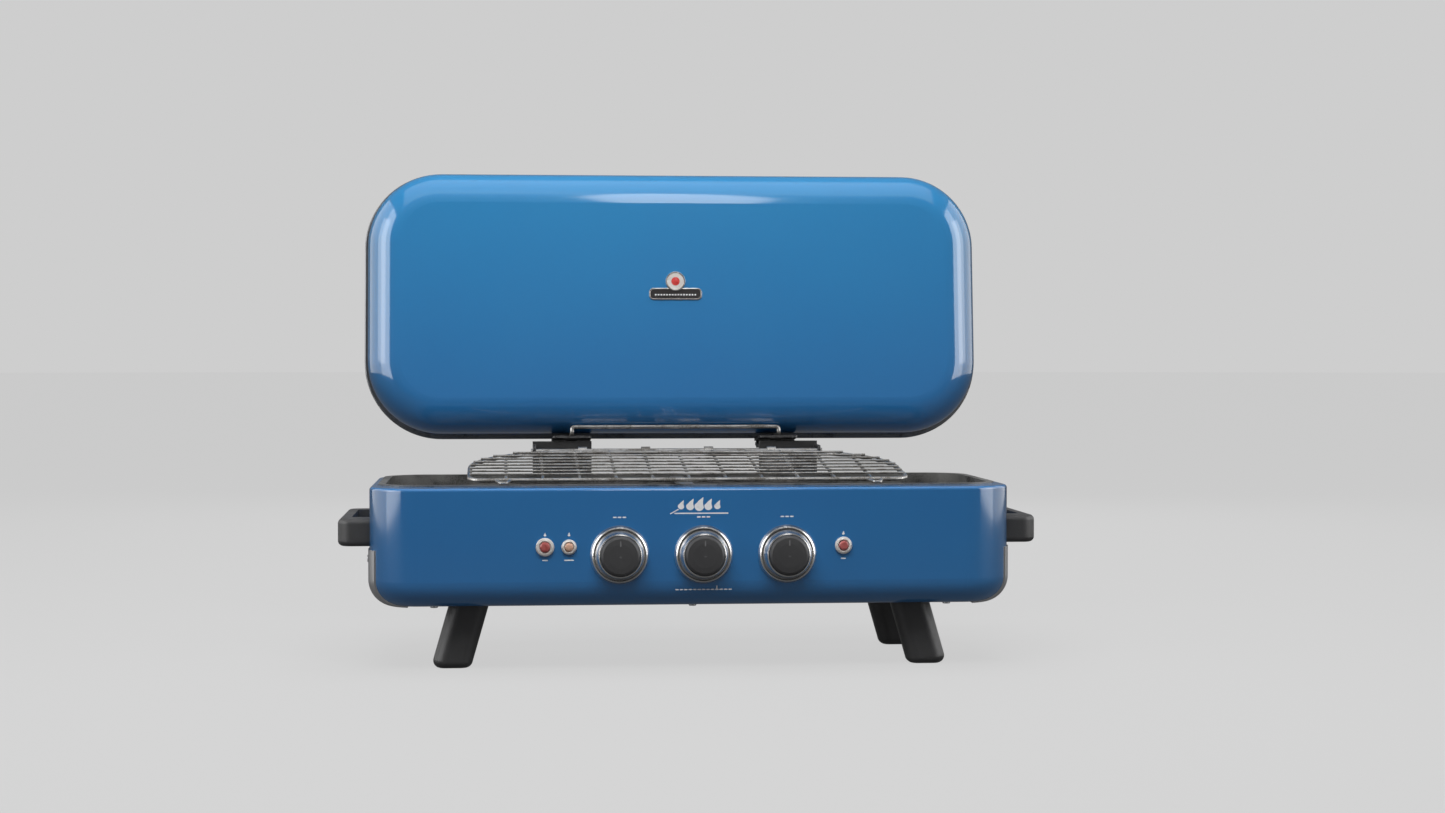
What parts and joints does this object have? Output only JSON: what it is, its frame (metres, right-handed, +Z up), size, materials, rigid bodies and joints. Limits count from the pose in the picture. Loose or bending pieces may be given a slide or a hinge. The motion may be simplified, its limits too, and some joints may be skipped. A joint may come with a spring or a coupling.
{
  "type": "folding camp grill",
  "caption": "Portable gas grill with splayed fold-up legs, a wire rack over a deep bowl, turning knobs, push buttons, side grips and a tilting stand-up lid.",
  "frame": {"origin": "on the ground under the middle of the whole grill's footprint", "axes": "+X along the front to the right, +Y to the rear, +Z up"},
  "size_m": [0.66, 0.3543, 0.4803],
  "materials": {
    "blue_enamel": "gloss enamel",
    "dark_enamel": "satin enamel, heat darkened",
    "hinge_black": "satin paint",
    "rim_steel": "dark satin bead",
    "sheet_steel": "satin stainless",
    "wire_chrome": "plated wire",
    "knob_metal": "turned and polished",
    "black_plastic": "fine grain moulding",
    "cap_black": "soft gloss",
    "ring_white": "gloss",
    "button_red": "gloss",
    "button_amber": "gloss",
    "screw_zinc": "zinc plated",
    "brass": "plain",
    "badge_metal": "plated",
    "badge_red": "enamel"
  },
  "bodies": {
    "base": {"base_shell": "blue_enamel", "firebox_bowl": "dark_enamel", "bottom_plate": "sheet_steel", "body_screws": "screw_zinc", "handle_screws": "screw_zinc", "hinge_screws": "screw_zinc", "side_guard_left": "sheet_steel", "handle_left": "black_plastic", "hinge_leaf_lower_left": "hinge_black", "side_guard_right": "sheet_steel", "handle_right": "black_plastic", "hinge_leaf_lower_right": "hinge_black", "hinge_pins": "screw_zinc", "leg_brackets": "sheet_steel", "leg_pins": "screw_zinc", "burner_left": "sheet_steel", "burner_centre": "sheet_steel", "burner_right": "sheet_steel", "control_bezels": "knob_metal", "valve_bodies": "brass", "flame_tamers": "sheet_steel", "gas_manifold": "brass", "inlet_fitting": "brass", "centre_bar": "sheet_steel", "tray_runners": "sheet_steel", "button_rings": "ring_white", "button_bodies": "black_plastic", "rear_rail": "wire_chrome"},
    "cradle": {"hinge_leaf_upper_left": "hinge_black", "hinge_leaf_upper_right": "hinge_black", "lid_cradle": "wire_chrome"},
    "lid": {"lid_shell": "blue_enamel", "lid_rim": "rim_steel", "lid_badge_bar": "badge_metal", "lid_badge_disc": "badge_red"},
    "rack": {"cooking_rack": "wire_chrome"},
    "tray": {"grease_tray": "sheet_steel"},
    "knob_left": {"knob_skirt_left": "knob_metal", "knob_cap_left": "cap_black", "valve_stem_left": "brass"},
    "knob_centre": {"knob_skirt_centre": "knob_metal", "knob_cap_centre": "cap_black", "valve_stem_centre": "brass"},
    "knob_right": {"knob_skirt_right": "knob_metal", "knob_cap_right": "cap_black", "valve_stem_right": "brass"},
    "button_left": {"button_cap_left": "button_red"},
    "button_middle": {"button_cap_middle": "button_amber"},
    "button_right": {"button_cap_right": "button_red"},
    "leg_front_left": {"leg_front_left": "black_plastic"},
    "leg_front_right": {"leg_front_right": "black_plastic"},
    "leg_rear_left": {"leg_rear_left": "black_plastic"},
    "leg_rear_right": {"leg_rear_right": "black_plastic"}
  },
  "joints": [
    {"name": "lid_tilt", "type": "hinge", "parent": "base", "child": "cradle", "pos_m": [0, 0.13077, 0.2], "axis": [-1, 0, 0], "range_deg": [0, 84]},
    {"name": "lid_lift", "type": "slide", "parent": "cradle", "child": "lid", "axis": [0, 0.1045, 0.9945], "range_m": [0, 0.06]},
    {"name": "rack_lift", "type": "hinge", "parent": "base", "child": "rack", "pos_m": [0, 0.07877, 0.1945], "axis": [-1, 0, 0], "range_deg": [0, 80]},
    {"name": "tray_slide", "type": "slide", "parent": "base", "child": "tray", "axis": [0, 1, 0], "range_m": [0, 0.17]},
    {"name": "knob_left_turn", "type": "hinge", "parent": "base", "child": "knob_left", "pos_m": [-0.0695, -0.15523, 0.1085], "axis": [0, -1, 0], "range_deg": [0, 270]},
    {"name": "knob_centre_turn", "type": "hinge", "parent": "base", "child": "knob_centre", "pos_m": [0.008, -0.15523, 0.1085], "axis": [0, -1, 0], "range_deg": [0, 270]},
    {"name": "knob_right_turn", "type": "hinge", "parent": "base", "child": "knob_right", "pos_m": [0.0855, -0.15523, 0.1085], "axis": [0, -1, 0], "range_deg": [0, 270]},
    {"name": "button_left_press", "type": "slide", "parent": "base", "child": "button_left", "axis": [0, 1, 0], "range_m": [0, 0.0025], "stiffness_N_per_m": 400, "springref_m": -0.002},
    {"name": "button_middle_press", "type": "slide", "parent": "base", "child": "button_middle", "axis": [0, 1, 0], "range_m": [0, 0.0025], "stiffness_N_per_m": 400, "springref_m": -0.002},
    {"name": "button_right_press", "type": "slide", "parent": "base", "child": "button_right", "axis": [0, 1, 0], "range_m": [0, 0.0025], "stiffness_N_per_m": 400, "springref_m": -0.002},
    {"name": "leg_front_left_fold", "type": "hinge", "parent": "base", "child": "leg_front_left", "pos_m": [-0.201, -0.10323, 0.084], "axis": [0, -1, 0], "range_deg": [0, 106]},
    {"name": "leg_front_right_fold", "type": "hinge", "parent": "base", "child": "leg_front_right", "pos_m": [0.201, -0.10323, 0.084], "axis": [0, 1, 0], "range_deg": [0, 106]},
    {"name": "leg_rear_left_fold", "type": "hinge", "parent": "base", "child": "leg_rear_left", "pos_m": [-0.198, 0.05077, 0.084], "axis": [0, -1, 0], "range_deg": [0, 106]},
    {"name": "leg_rear_right_fold", "type": "hinge", "parent": "base", "child": "leg_rear_right", "pos_m": [0.198, 0.05077, 0.084], "axis": [0, 1, 0], "range_deg": [0, 106]}
  ]
}
